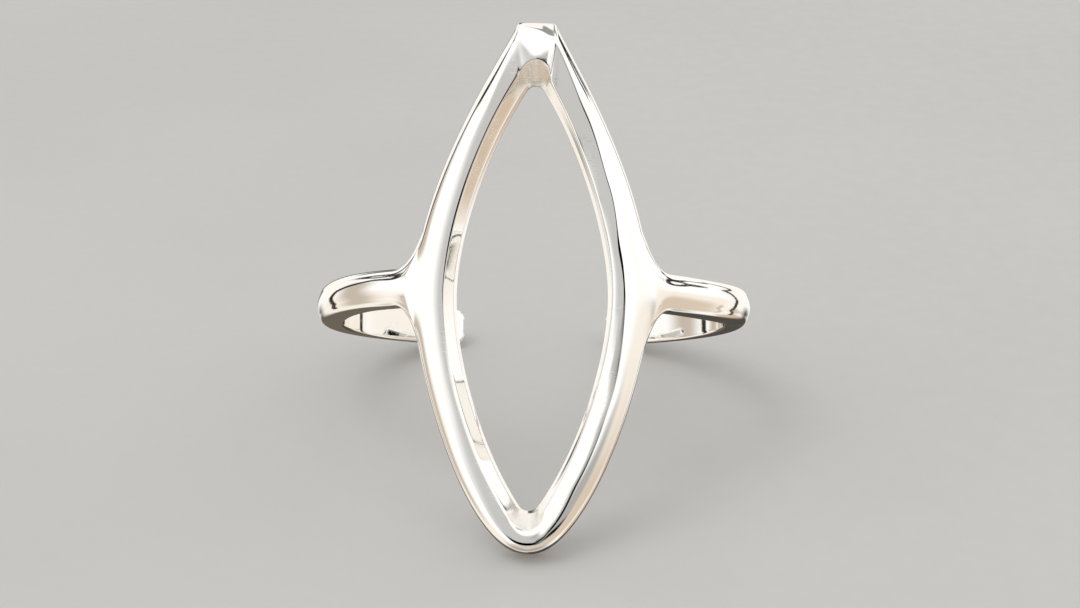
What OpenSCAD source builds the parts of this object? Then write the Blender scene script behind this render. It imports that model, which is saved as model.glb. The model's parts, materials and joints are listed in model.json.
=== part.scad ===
// Polished silver ring: a long pointed-oval openwork front on an open shank.
// One cast piece. Plans are drawn on the finger cylinder rolled flat: s runs
// round the finger from the middle of the front, z runs along the finger.

/* [Finger hole] */
// Inside diameter of the shank, US size 7
finger_d = 17.3; // [16.5:0.1:18.5]

/* [Front outline] */
// Height of the cut upper tip above the middle of the shank
front_top = 11; // [10.4:0.1:12]
// Depth of the rounded lower tip below the middle of the shank
front_bottom = 11.1; // [10.4:0.1:12]
// Half width of the front at its widest place
front_half_w = 5.46; // [5.2:0.02:5.7]
// Height of the widest place of the front
widest_z = -0.35; // [-0.8:0.05:0.4]
// Half width of the flat cut across the upper tip
tip_flat = 0.71; // [0.5:0.01:0.9]
// Corner radius at the two ends of the flat cut
tip_corner = 0.24; // [0.22:0.01:0.3]
// Slope of the upper sides at the cut, measured from upright
upper_slope = 25.6; // [22:0.2:30]
// Radius of the lower tip
lower_tip_r = 1.83; // [1.4:0.01:2.1]
// Slope of the lower sides where they leave the lower tip
lower_slope = 58.5; // [50:0.5:62]

/* [Opening] */
// Half width of the pointed opening
opening_half_w = 3.64; // [3.4:0.02:3.8]
// Height of the top of the opening
opening_top = 8.58; // [8:0.02:9]
// Depth of the bottom of the opening
opening_bottom = 9.39; // [8.8:0.01:9.6]
// Radius in the upper point of the opening
opening_top_r = 0.55; // [0.45:0.01:0.7]
// Radius in the lower point of the opening
opening_bottom_r = 0.62; // [0.5:0.01:0.75]
// Slope of the upper sides of the opening at its point
opening_top_slope = 34.5; // [31:0.5:37]
// Slope of the lower sides of the opening at its point
opening_bottom_slope = 37.6; // [35:0.2:41]

/* [Section of the front] */
// Height above the finger at which the rounding of the outside starts
edge_h = 0.45; // [0.35:0.05:0.6]
// Height of the ridge along the front
ridge_h = 1.4; // [1.3:0.02:1.5]
// Place of the ridge on the sides, from the outer to the inner edge of the face
ridge_at = 0.68; // [0.6:0.02:0.76]
// Place of the ridge at the corners of the upper tip
tip_ridge_at = 0.3; // [0.22:0.02:0.4]
// Place of the ridge over the flat cut, where a small facet leads up to it
cut_ridge_at = 0.2; // [0.1:0.02:0.3]
// Height of the flat cut's front edge, below that facet
cut_h = 1.12; // [1:0.02:1.25]
// Radius of the edges that touch the finger
comfort_r = 0.13; // [0.1:0.01:0.15]

/* [Wall of the opening] */
// How much the opening narrows over the rounding at the finger
draft = 0.08; // [0.04:0.02:0.12]
// How much wider the opening is at its front edge than at the finger, on its sides
flare = 0.53; // [0.45:0.01:0.6]
// The same in its upper point
top_flare = 0.86; // [0.7:0.02:1]
// The same in its lower point
bottom_flare = 0.9; // [0.75:0.05:1]
// Height of the bend in the wall, below which the wall is steeper
waist_h = 0.5; // [0.45:0.01:0.6]
// How much wider the opening is at that bend than at the finger
waist_flare = 0.12; // [0.09:0.01:0.16]
// Rounding of the opening's front edge
inner_edge_r = 0.14; // [0.1:0.01:0.18]

/* [Shank] */
// Width of the shank where it leaves the shoulders
shank_w = 1.62; // [1.5:0.02:1.8]
// Width of the shank at its free ends
end_w = 1.7; // [1.5:0.05:1.8]
// Thickness of the shank where it leaves the shoulders
shank_t = 1.22; // [1.15:0.01:1.35]
// Thickness of the shank at its free ends
end_t = 1.15; // [1.05:0.05:1.25]
// How much lower the outside of the shank is at its edges than at its middle
shank_crown = 0.12; // [0.06:0.02:0.18]
// Rounding of the outer edges of the arms, across
arm_edge_in = 0.35; // [0.25:0.01:0.4]
// The same, up
arm_edge_up = 0.42; // [0.3:0.01:0.5]
// Half of the open gap at the back, as an angle round the finger
gap_half = 23.2; // [20:0.2:28]
// Length of the rounding of each free end
end_round = 0.5; // [0.4:0.05:0.6]

/* [Shoulders] */
// Height on the front where the upper fillet leaves its outline
shoulder_top = 2.5; // [2:0.05:2.6]
// Height on the front where the lower fillet leaves its outline
shoulder_bottom = -2.65; // [-3:0.05:-2.3]
// Distance round the finger at which the shoulder has become the shank
shoulder_s = 6.4; // [6.2:0.1:7]
// Thickness of the shoulders
shoulder_h = 1.3; // [1.2:0.02:1.4]
// Turn of the front against the shank, clockwise as seen from the front
front_turn = 0.9; // [0:0.1:1.5]

/* [Hidden] */

finger_r = finger_d / 2;
// Radius of the cylinder on which the flat plans are true to size
plan_r = finger_r + 0.95;
// The points on the finger side start this far inside the hole, which cuts them back
sink = 0.15;
// How far inside their edge those points lie
sunk_in = 1.6 * comfort_r;
// Angle on the finger-side rounding below which the hole cuts it
crossing = 30;
// Angle on the rounding of the outside up to which it belongs to the rim
rim_angle = 40;
// Steepest slope of the face at the opening's front edge, and the least share of a
// section that is taken to run round the finger
inner_slope_max = 0.45;
across_min = 0.2;
// Slope with which the face still rises on the ridge over the opening's upper point
tip_rise = 0.2;
// Heights between which the ridge moves from the tip's place to that of the sides
ridge_move = [10.6, 5.6];
// Share of a point's side slope from which its wall starts to open further
point_start = 0.6;
// Pull of the outline's curves at the widest place and at the tips, upper and lower half
front_pull = [[4.26, 1.21], [2.3, 2.68]];
opening_pull = [[2.42, 3.06], [2.87, 2.58]];
// Pull of the fillets at the front and at the shank
fillet_pull = [0.5, 0.9];
// Largest pull, as a share of the distance between a fillet's ends
fillet_reach = 0.6;
// How far a fillet turns out of the outline where it leaves, as a slope
fillet_turn = 0.3;
// How fast the lines between the two fillets turn square to the outline
fillet_spread = 1.6;
// Distances round the finger between which the front's turn ends
turn_ends = [8, 15];
// Rough directions away from the shank, from its upper and from its lower edge
above = [0.3, 1];
below = [0.3, -1];
// Step for the direction of a curve
small = 0.001;

// Angle at which the rounding of a free end meets its flat tip, and the share of
// the shank's thickness that a full half circle would leave there
end_angle = 66;
end_low = 0.65;
// How far the middle of a ring in that rounding stands out
end_bulge = 0.15;

// Steps along half of the front: flat cut, its corner, upper side, each half of
// the shoulder, lower side and lower tip
steps_flat = 2;
steps_corner = 2;
steps_upper = 13;
steps_shoulder = 5;
steps_lower = 12;
steps_tip = 5;
// Steps round an edge, across the outer part of the front's face and across its inner part
steps_edge = 2;
steps_face = 4;
steps_inner = 2;
// Steps along a fillet, along the shank and round its end
steps_fillet = 6;
steps_shank = 24;
steps_end = 4;

function bezier(p, t) =
    pow(1 - t, 3) * p[0] + 3 * pow(1 - t, 2) * t * p[1]
    + 3 * (1 - t) * t * t * p[2] + pow(t, 3) * p[3];
function unit(v) = v / norm(v);
function soft(x) = x * x * (3 - 2 * x);
function mix(a, b, f) = a * (1 - f) + b * f;
function at(list, x) =
    let (k = min(floor(x), len(list) - 2))
    mix(list[k], list[k + 1], x - k);
function turned(v) = [-v[1], v[0]];
// Of the two directions square to v, the one on the side of guide
function square_to(v, guide) =
    let (n = unit(turned(v)))
    n * guide < 0 ? -n : n;

// Point at an angle on the arc of a tip; up is 1 for the upper half, -1 for the lower
function tip_arc(r, tip_z, angle, up) =
    [r * cos(angle), up * (tip_z - r + r * sin(angle))];
// Curve from a tip to the widest place
function side_curve(start, slope, pull, half_w, up) =
    [start, start + pull[1] * [sin(slope), -up * cos(slope)],
     [half_w, widest_z + up * pull[0]], [half_w, widest_z]];
// Parameter at which a side curve reaches the height z
function curve_at_z(p, z, lo = 0, hi = 1, n = 24) =
    let (mid = (lo + hi) / 2)
    n == 0 ? mid
    : (bezier(p, mid)[1] - z) * (p[0][1] - p[3][1]) > 0 ? curve_at_z(p, z, mid, hi, n - 1)
    : curve_at_z(p, z, lo, mid, n - 1);

corner_at = [tip_flat, front_top - tip_corner];
upper_start = corner_at + tip_corner * [cos(upper_slope), sin(upper_slope)];
front_upper = side_curve(upper_start, upper_slope, front_pull[0], front_half_w, 1);
front_lower = side_curve(tip_arc(lower_tip_r, front_bottom, lower_slope, -1),
                         lower_slope, front_pull[1], front_half_w, -1);
opening_upper = side_curve(tip_arc(opening_top_r, opening_top, opening_top_slope, 1),
                           opening_top_slope, opening_pull[0], opening_half_w, 1);
opening_lower = side_curve(tip_arc(opening_bottom_r, opening_bottom, opening_bottom_slope, -1),
                           opening_bottom_slope, opening_pull[1], opening_half_w, -1);

// Curve parameters of the sections between the tips, the same for both outlines
shoulder_t0 = curve_at_z(front_upper, shoulder_top);
shoulder_t1 = curve_at_z(front_lower, shoulder_bottom);
upper_ts = concat([for (k = [1:steps_upper]) shoulder_t0 * k / steps_upper],
                  [for (k = [1:steps_shoulder]) mix(shoulder_t0, 1, k / steps_shoulder)]);
lower_ts = concat([for (k = [1:steps_shoulder]) mix(1, shoulder_t1, k / steps_shoulder)],
                  [for (k = [1:steps_lower]) shoulder_t1 * (1 - k / steps_lower)]);
steps_cut = steps_flat + steps_corner;

// Half outlines from the middle of the upper tip to the middle of the lower tip
front_half = concat(
    [for (k = [0:steps_flat - 1]) [tip_flat * k / steps_flat, front_top]],
    [for (k = [0:steps_corner])
        let (a = mix(90, upper_slope, k / steps_corner)) corner_at + tip_corner * [cos(a), sin(a)]],
    [for (t = upper_ts) bezier(front_upper, t)],
    [for (t = lower_ts) bezier(front_lower, t)],
    [for (k = [1:steps_tip])
        tip_arc(lower_tip_r, front_bottom, mix(lower_slope, 90, k / steps_tip), -1)]);
opening_half = concat(
    [for (k = [0:steps_cut])
        tip_arc(opening_top_r, opening_top, mix(90, opening_top_slope, k / steps_cut), 1)],
    [for (t = upper_ts) bezier(opening_upper, t)],
    [for (t = lower_ts) bezier(opening_lower, t)],
    [for (k = [1:steps_tip])
        tip_arc(opening_bottom_r, opening_bottom, mix(opening_bottom_slope, 90, k / steps_tip), -1)]);

// Whole outlines, down the right side and up the left one
half_n = len(front_half);
loop_n = 2 * half_n - 2;
function whole(half) =
    concat(half, [for (k = [half_n - 2:-1:1]) [-half[k][0], half[k][1]]]);
front_line = whole(front_half);
opening_line = whole(opening_half);
function away(line, k) =
    let (v = line[(k + 1) % loop_n] - line[(k + loop_n - 1) % loop_n])
    unit([-v[1], v[0]]);
front_out = [for (k = [0:loop_n - 1]) away(front_line, k)];
opening_out = [for (k = [0:loop_n - 1]) away(opening_line, k)];

// Sections where the shoulder starts and ends, on the right side
shoulder_k0 = steps_cut + steps_upper;
shoulder_k1 = shoulder_k0 + 2 * steps_shoulder;
// 1 in the middle of the shoulder and 0 away from it
function shoulder_share(z) =
    let (mid = (shoulder_top + shoulder_bottom) / 2, half = (shoulder_top - shoulder_bottom) / 2)
    soft(max(0, 1 - abs(z - mid) / half));
share = [for (p = front_line) shoulder_share(p[1])];

// 1 in the opening's upper or lower point and 0 on its sides
function in_point(k, slope, up) =
    let (out = opening_out[k], start = point_start * slope, angle = atan2(up * out[1], abs(out[0])))
    soft(min(1, max(0, (angle - start) / (90 - start))));
top_share = [for (k = [0:loop_n - 1]) in_point(k, opening_top_slope, 1)];
bottom_share = [for (k = [0:loop_n - 1]) in_point(k, opening_bottom_slope, -1)];
// 1 on the flat cut and 0 past its corners
cut_share = [for (p = front_line)
    p[1] > opening_top ? soft(min(1, max(0, (tip_flat + tip_corner - abs(p[0])) / tip_corner))) : 0];
// 1 at the upper tip and 0 from halfway down the upper sides
tip_share = [for (p = front_line)
    soft(min(1, max(0, (p[1] - ridge_move[1]) / (ridge_move[0] - ridge_move[1]))))];
ridge_place = [for (k = [0:loop_n - 1])
    mix(mix(ridge_at, tip_ridge_at, tip_share[k]), cut_ridge_at, cut_share[k])];

// Plan line of the opening at a height, where it is wider than at the finger by the
// given widths, seen square to the front
foot_line = [for (k = [0:loop_n - 1]) opening_line[k] - draft * opening_out[k]];
function widened(widths, h) = [for (k = [0:loop_n - 1])
    let (x = (finger_r + comfort_r) * sin(foot_line[k][0] / plan_r * 180 / PI))
    [plan_r * asin((x + widths[k] * opening_out[k][0]) / (finger_r + h)) * PI / 180,
     foot_line[k][1] + widths[k] * opening_out[k][1]]];
flares = [for (k = [0:loop_n - 1])
    flare + (top_flare - flare) * top_share[k] + (bottom_flare - flare) * bottom_share[k]];
inner_line = widened(flares, ridge_h);
waist_line = widened([for (k = [0:loop_n - 1]) waist_flare], waist_h);

// Plan point and height above the finger, as a point round the finger
function wrap(p, h) =
    let (a = p[0] / plan_r * 180 / PI, r = finger_r + h)
    [r * sin(a), -r * cos(a), p[1]];

// Below, a profile point is a plan point with its height above the finger
function raised(p, h) = [p[0], p[1], h];
function wrapped(points) = [for (p = points) wrap([p[0], p[1]], p[2])];
// Profile point on the rounded outside, from its edge up to the ridge
function outside_round(k, angle) =
    let (x = ridge_place[k] * (1 - cos(angle)), h = edge_h + (ridge_h - edge_h) * sin(angle))
    raised(mix(front_line[k], inner_line[k], x), h);
// The same on the flat cut, with its facet
function outside_cut(k, angle) =
    let (x = max(0, (angle - rim_angle) / (90 - rim_angle)),
         h = x > 0 ? mix(cut_h, ridge_h, x) : mix(edge_h, cut_h, angle / rim_angle))
    raised(mix(front_line[k], inner_line[k], ridge_place[k] * x), h);
// The same on the shoulder, where the arm carries on into the face; x is 0 at the top of the rim
function outside_flat(k, x) =
    let (start = front_line[k] - arm_edge_in * front_out[k])
    raised(mix(start, inner_line[k], ridge_place[k] * x), mix(shoulder_h, ridge_h, soft(x)));
function outside_edge(k, angle) =
    mix(outside_round(k, angle), outside_cut(k, angle), cut_share[k]);
function outside(k, x) =
    mix(outside_edge(k, mix(rim_angle, 90, x)), outside_flat(k, x), share[k]);

// Rounding at the finger side of an outer wall
function comfort(edge, out) = concat(
    [wrap(edge - sunk_in * out, -sink)],
    [for (k = [0:steps_edge]) let (a = mix(crossing, 90, k / steps_edge))
        wrap(edge - comfort_r * (1 - sin(a)) * out, comfort_r * (1 - cos(a)))]);
// Profile of the front's own edge, up to the top of its rim
function rim_edge(k) =
    concat([for (j = [0:steps_edge - 1]) outside_edge(k, rim_angle * j / steps_edge)], [outside(k, 0)]);
function rim(k) = concat(comfort(front_line[k], front_out[k]), wrapped(rim_edge(k)));
rim_n = 2 * steps_edge + 3;

// Slope of the face down to the opening's edge, which looks straight to the front there
function inner_slope(k) =
    let (way = inner_line[k] - front_line[k], across = abs(way[0]) / norm(way))
    min(inner_slope_max, tan(abs(inner_line[k][0]) / plan_r * 180 / PI) / max(across, across_min));
function inner_width(k) = (1 - ridge_place[k]) * norm(inner_line[k] - front_line[k]);
// Profile point between the ridge, at 0, and the opening's front edge, at 1
function inner_face(k, x) =
    let (rise = tip_rise * top_share[k], fall = rise + inner_slope(k))
    raised(mix(front_line[k], inner_line[k], mix(ridge_place[k], 1, x)),
           ridge_h + inner_width(k) * (rise * x - fall * x * x / 2));
// Profile point on the opening's wall between its front edge, at 0, and its bend, at 1
function upper_wall(k, x) = mix(inner_face(k, 1), raised(waist_line[k], waist_h), x);
// Profile of the rounded front edge, which starts at the place x of the inner face
function inner_edge(k, x) =
    let (corner = inner_face(k, 1), start = inner_face(k, x),
         end = upper_wall(k, inner_edge_r / norm(upper_wall(k, 1) - corner)))
    [for (j = [0:steps_edge]) let (s = j / steps_edge) mix(mix(start, corner, s), mix(corner, end, s), s)];
function face(k) =
    let (last = 1 - inner_edge_r / inner_width(k))
    wrapped(concat([for (j = [1:steps_face]) outside(k, j / steps_face)],
                   [for (j = [1:steps_inner - 1]) inner_face(k, last * j / steps_inner)],
                   inner_edge(k, last)));
// Lower wall of the opening, from its bend down to the finger side
function lower_wall(k) =
    let (foot = foot_line[k], out = opening_out[k])
    concat(
        [wrap(waist_line[k], waist_h)],
        [for (j = [0:steps_edge]) let (a = mix(90, crossing, j / steps_edge))
            wrap(foot + comfort_r * (1 - sin(a)) * out, comfort_r * (1 - cos(a)))],
        [wrap(foot + sunk_in * out, -sink)]);
function section(k) = concat(rim(k), face(k), lower_wall(k));
front_points = [for (k = [0:loop_n - 1]) each section(k)];
section_n = len(front_points) / loop_n;

function quad(a, b, c, d) = [[a, b, c], [a, c, d]];
function flipped(tris) = [for (t = tris) [t[2], t[1], t[0]]];
function on_shoulder(k) =
    (k >= shoulder_k0 && k < shoulder_k1)
    || (k >= loop_n - shoulder_k1 && k < loop_n - shoulder_k0);
front_faces = [
    for (k = [0:loop_n - 1], j = [0:section_n - 1])
        if (j >= rim_n - 1 || !on_shoulder(k))
            let (k2 = (k + 1) % loop_n, j2 = (j + 1) % section_n)
            each quad(k * section_n + j, k2 * section_n + j, k2 * section_n + j2, k * section_n + j2)];

// Shank: rings of points from the shoulder's edge on the front round to the free end.
// Every plan below is for the right arm; the left one mirrors it.
seam_n = 2 * steps_shoulder;
seam_line = [for (k = [shoulder_k0:shoulder_k1]) front_line[k]];
seam_out = [for (k = [shoulder_k0:shoulder_k1]) front_out[k]];
// Inset and height of the rim's top there, and the whole edge where the shoulder starts
function inset_of(k, p) = [norm([p[0], p[1]] - front_line[k]), p[2]];
seam_top = [for (k = [shoulder_k0:shoulder_k1]) inset_of(k, outside(k, 0))];
seam_edge = [for (p = rim_edge(shoulder_k0)) inset_of(shoulder_k0, p)];
end_s = (180 - gap_half) * PI / 180 * plan_r;
function along(s) = (s - shoulder_s) / (end_s - shoulder_s);
function shank_half_w(s) = mix(shank_w, end_w, along(s)) / 2;
// Height of the shank's outside; q is 0 at its upper edge and 1 at its lower one
function shank_h(s, q) = mix(shank_t, end_t, along(s)) - shank_crown * pow(2 * q - 1, 2);

// Directions in which the two fillets leave the outline of the front
upper_leave = unit(square_to(seam_out[0], [0, -1]) + fillet_turn * seam_out[0]);
lower_leave = unit(square_to(seam_out[seam_n], [0, 1]) + fillet_turn * seam_out[seam_n]);
taper = (end_w - shank_w) / 2 / (end_s - shoulder_s);
function fillet_curve(q) =
    let (start = at(seam_line, q * seam_n),
         end = [shoulder_s, shank_w / 2 * (1 - 2 * q)],
         inner = soft(min(1, fillet_spread * (1 - abs(2 * q - 1)))),
         leave = unit(mix(q < 0.5 ? upper_leave : lower_leave, at(seam_out, q * seam_n), inner)),
         reach = fillet_reach * norm(end - start))
    [start, start + min(fillet_pull[0], reach) * leave,
     end - min(fillet_pull[1], reach) * [1, taper * (1 - 2 * q)], end];

// Insets and heights of an arm's rounded edge; share is 0 at the front and 1 on the shank,
// and narrow takes in the edges of the free end
function arm_edge(h, share = 1, narrow = 1) =
    [for (j = [0:steps_edge]) let (a = 90 * j / steps_edge)
        mix(seam_edge[j], [narrow * arm_edge_in * (1 - cos(a)), h - arm_edge_up * (1 - sin(a))], share)];
function arm_wall(edge, out, insets) =
    concat(comfort(edge, out), [for (i = insets) wrap(edge - i[0] * out, i[1])]);
// Closed ring of points from the plan of its outside, upper to lower edge; tops are the
// inset and the height of each point of the outside
function arm_ring(plan, tops, up_out, low_out, share = 1, narrow = 1) =
    let (low_wall = arm_wall(plan[seam_n], low_out, arm_edge(tops[seam_n][1], share, narrow)),
         up_wall = arm_wall(plan[0], up_out, arm_edge(tops[0][1], share, narrow)),
         outs = [for (k = [0:seam_n]) mix(up_out, low_out, k / seam_n)])
    concat([for (k = [0:seam_n]) wrap(plan[k] - tops[k][0] * outs[k], tops[k][1])],
           [for (k = [rim_n - 2:-1:0]) low_wall[k]],
           [for (k = [seam_n - 1:-1:0]) wrap(plan[k] - sunk_in * outs[k], -sink)],
           [for (k = [1:rim_n - 2]) up_wall[k]]);

function fillet_ring(u) =
    let (curves = [for (k = [0:seam_n]) fillet_curve(k / seam_n)],
         back = u - small,
         plan = [for (c = curves) bezier(c, u)],
         up_way = plan[0] - bezier(curves[0], back),
         low_way = plan[seam_n] - bezier(curves[seam_n], back),
         tops = [for (k = [0:seam_n])
             mix(seam_top[k], [arm_edge_in, shank_h(shoulder_s, k / seam_n)], soft(u))])
    arm_ring(plan, tops, square_to(up_way, above), square_to(low_way, below), soft(u));
// turn is 0 on the shank and grows in the rounding of its end
function shank_ring(s, turn = 0) =
    let (narrow = cos(turn))
    arm_ring([for (k = [0:seam_n]) let (x = 1 - 2 * k / seam_n)
                 [s + end_bulge * (1 - narrow) * (1 - x * x), shank_half_w(s) * narrow * x]],
             [for (k = [0:seam_n]) [arm_edge_in * narrow, shank_h(s, k / seam_n) * mix(end_low, 1, narrow)]],
             [sin(turn), cos(turn)], [sin(turn), -cos(turn)], 1, narrow);
straight_s = end_s - end_round;
arm_rings = concat(
    [for (k = [1:steps_fillet]) fillet_ring(k / steps_fillet)],
    [for (k = [1:steps_shank]) shank_ring(mix(shoulder_s, straight_s, k / steps_shank))],
    [for (k = [1:steps_end]) let (a = end_angle * k / steps_end)
        shank_ring(straight_s + end_round * sin(a) / sin(end_angle), a)]);
ring_n = len(arm_rings[0]);
rings_n = len(arm_rings);
arm_points = [for (r = arm_rings) each r];

// Point numbers of the seam on the front, in the order of an arm's ring
function seam_ids(ks) =
    let (first = ks[0] * section_n, last = ks[seam_n] * section_n)
    concat([for (k = ks) k * section_n + rim_n - 1],
           [for (j = [rim_n - 2:-1:0]) last + j],
           [for (k = [seam_n - 1:-1:0]) ks[k] * section_n],
           [for (j = [1:rim_n - 2]) first + j]);
function ring_ids(ks, base, r) =
    r == 0 ? seam_ids(ks) : [for (j = [0:ring_n - 1]) base + (r - 1) * ring_n + j];
function arm_faces(ks, base) = concat(
    [for (r = [0:rings_n - 1])
        let (a = ring_ids(ks, base, r), b = ring_ids(ks, base, r + 1))
        for (j = [0:ring_n - 1]) let (j2 = (j + 1) % ring_n)
            each quad(a[j], b[j], b[j2], a[j2])],
    let (a = ring_ids(ks, base, rings_n), low = seam_n + rim_n - 1, up = low + seam_n)
    concat(
        [for (k = [0:seam_n - 1]) each quad(a[k], a[up - k], a[up - k - 1], a[k + 1])],
        [for (j = [seam_n + 1:low - 1]) [a[seam_n], a[j + 1], a[j]]],
        [for (j = [up:ring_n - 2]) [a[0], a[j + 1], a[j]]]));

right_ks = [for (k = [shoulder_k0:shoulder_k1]) k];
left_ks = [for (k = right_ks) loop_n - k];
left_base = len(front_points) + len(arm_points);
// Place of a point once the front is turned against the shank
function askew(p) =
    let (a = atan2(p[0], -p[1]), s = plan_r * a * PI / 180, r = norm([p[0], p[1]]),
         x = (abs(s) - turn_ends[0]) / (turn_ends[1] - turn_ends[0]),
         turn = sin(front_turn) * (1 - soft(min(1, max(0, x)))),
         b = a + turn * p[2] / plan_r * 180 / PI)
    [r * sin(b), -r * cos(b), p[2] - turn * s];
straight_points = concat(front_points, arm_points, [for (p = arm_points) [-p[0], p[1], p[2]]]);
ring_points = [for (p = straight_points) askew(p)];
ring_faces = concat(front_faces, arm_faces(right_ks, len(front_points)),
                    flipped(arm_faces(left_ks, left_base)));

// The ring rests on its lower tip and on the edges of its two free ends
function low_z(points, lean) = min([for (p = points) p[2] * cos(lean) - p[1] * sin(lean)]);
tip_points = [for (p = ring_points) if (p[2] < -front_bottom / 2) p];
function resting_lean(lo = 15, hi = 45, n = 30) =
    let (mid = (lo + hi) / 2)
    n == 0 ? mid
    : low_z(tip_points, mid) < low_z(arm_points, mid) ? resting_lean(mid, hi, n - 1)
    : resting_lean(lo, mid, n - 1);
lean = resting_lean();
lift = -low_z(tip_points, lean);
ys = [for (p = ring_points) p[1] * cos(lean) + p[2] * sin(lean)];
mid_y = (min(ys) + max(ys)) / 2;

module ring() {
    color("silver")
    translate([0, -mid_y, lift])
    rotate([-lean, 0, 0])
    difference() {
        polyhedron(ring_points, ring_faces, convexity = 8);
        translate([0, 0, -front_bottom - 2])
        cylinder(r = finger_r, h = front_top + front_bottom + 4, $fn = 240);
    }
}

ring();
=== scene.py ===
"""A polished silver ring: a long pointed-oval openwork front on an open shank.

The ring is drawn in millimetres, upright round the finger's axis, with the middle of its front
at -Y. Plans are drawn on the finger cylinder rolled flat: s runs round the finger from the middle
of the front, z runs along the finger. The finished mesh is scaled to metres and set in the place
that the frame's mount finger_hole gives.
"""
import math
import json

import bpy
from mathutils import Matrix, Vector


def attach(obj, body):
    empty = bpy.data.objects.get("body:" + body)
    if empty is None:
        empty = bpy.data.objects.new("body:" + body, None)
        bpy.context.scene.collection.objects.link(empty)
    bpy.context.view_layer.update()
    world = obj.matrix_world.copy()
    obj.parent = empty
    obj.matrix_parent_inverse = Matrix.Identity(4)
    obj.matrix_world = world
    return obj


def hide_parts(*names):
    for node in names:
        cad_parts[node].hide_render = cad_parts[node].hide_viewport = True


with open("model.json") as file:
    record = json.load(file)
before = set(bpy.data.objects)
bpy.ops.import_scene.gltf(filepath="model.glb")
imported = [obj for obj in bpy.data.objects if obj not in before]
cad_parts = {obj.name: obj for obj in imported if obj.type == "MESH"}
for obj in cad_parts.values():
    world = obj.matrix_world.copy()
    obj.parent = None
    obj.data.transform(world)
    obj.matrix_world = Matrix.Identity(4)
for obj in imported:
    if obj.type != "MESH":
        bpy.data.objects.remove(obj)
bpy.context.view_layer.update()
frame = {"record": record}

# Driving dimensions of the ring, in millimetres and degrees: the finger hole, and the height above the
# finger at which plans are drawn
FINGER_R = 8.65
PLAN_H = 0.95
PLAN_R = FINGER_R + PLAN_H

# The front: its reach up and down, half its width and where it is widest, half of the flat cut and the
# rounding of its corners, the rounding of the lower tip, the sides' slopes at both tips, and the pull of
# the upper and lower side curves at the widest place and at the tip
FRONT_TOP = 11.0
FRONT_BOTTOM = 11.1
FRONT_HALF_W = 5.46
WIDEST_Z = -0.35
TIP_FLAT = 0.71
TIP_CORNER = 0.24
UPPER_SLOPE = 25.6
LOWER_TIP_R = 1.83
LOWER_SLOPE = 58.5
FRONT_PULL = ((4.26, 1.21), (2.3, 2.68))

# The same of its opening, which has a rounding at either end, and the share of the sides' slope at which
# its two points begin
OPENING_HALF_W = 3.64
OPENING_TOP = 8.58
OPENING_BOTTOM = 9.39
OPENING_TOP_R = 0.55
OPENING_BOTTOM_R = 0.62
OPENING_TOP_SLOPE = 34.5
OPENING_BOTTOM_SLOPE = 37.6
OPENING_PULL = ((2.42, 3.06), (2.87, 2.58))
POINT_START = 0.6

# Heights above the finger: where the rounding of the outside starts, the ridge, and the
# bend in the wall of the opening
EDGE_H = 0.45
RIDGE_H = 1.4
WAIST_H = 0.5
# Place of the ridge across the face, from the outer to the inner edge: along the finger, with its
# place on the left and on the right side there, and at the left and right end of the flat cut
RIDGE_AT = ((11.2, 0.42, 0.34), (8.8, 0.66, 0.52), (5.8, 0.72, 0.67), (2.6, 0.72, 0.8), (-1.0, 0.72, 0.77),
            (-5.2, 0.7, 0.68), (-9.0, 0.58, 0.62), (-11.2, 0.45, 0.45))
CUT_RIDGE_AT = (0.05, 0.36)
# Height of the flat cut's front edge, under the facet that slopes up to the ridge
CUT_H = 1.12
# Slope with which the face still rises on the ridge of the upper tip
TIP_RISE = 0.2
# Rounding at the finger side, and how far the foot of the opening's wall stands into the opening
COMFORT_R = 0.13
DRAFT = 0.08
# How much wider the opening is than at the finger, seen square to the front: at the bend, at
# its front edge on the left and right side, and there in its two points
WAIST_FLARE = 0.115
FLARE = (0.53, 0.25)
TOP_FLARE = 0.86
BOTTOM_FLARE = 0.9
# Half the width across which the left side's values turn into the right side's
SIDE_BLEND = 0.6
# Rounding of the opening's front edge, on its left and right side and in its upper and lower point
INNER_EDGE_R = (0.03, 0.12)
POINT_EDGE_R = (0.05, 0.2)
# On the right side the ridge is a crease: how far the face beyond it turns past the viewer, in
# degrees, the steepest it gets, and along the finger the crease's rounding and the turn at the
# opening
CREASE_TURN = 2
CREASE_SLOPE = 0.85
CREASE = ((11.0, 0.14, 6), (8.4, 0.12, 8), (6.0, 0.05, 8), (4.0, 0.05, 12), (1.6, 0.15, 20),
          (-2.6, 0.22, 20), (-4.6, 0.3, 20), (-6.6, 0.2, 20), (-8.4, 0.12, 16), (-9.6, 0.1, 12))
# Rounding of the ridge elsewhere, and the most of the faces beside it that its rounding takes
SOFT_R = 0.12
RIDGE_REACH = 0.5
# The most of the inner face that the rounding of the opening's front edge takes
INNER_REACH = 0.9
# Extra turn of the face just before the opening's left edge, and its length
EDGE_TURN = 0.24
EDGE_TURN_W = 0.17
# Least place for it after the ridge, as a share of the inner face
EDGE_TURN_GAP = 0.05
# Rounding of the bend in the wall of the opening
WAIST_R = 0.04
# Slope of the face at the opening's front edge, at most, and the least share of a way across the face
# that counts as sideways
INNER_SLOPE = 0.45
LEAST_SIDEWAYS = 0.5
# Angle on the rounding of the outside up to which it belongs to the rim
RIM_ANGLE = 40
# Rounding of the arms' edges, across and up
ARM_EDGE = (0.35, 0.42)

# The shank: width and thickness at the shoulders and at its free ends, how much its middle stands proud,
# half of the gap, and the rounding of the free ends: its length, how far round it goes, and how much of
# the thickness is left where it would close
SHANK_W = 1.62
END_W = 1.7
SHANK_T = 1.22
END_T = 1.15
SHANK_CROWN = 0.12
GAP_HALF = 23.2
END_ROUND = 0.5
END_ANGLE = 66
END_LOW = 0.65

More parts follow.
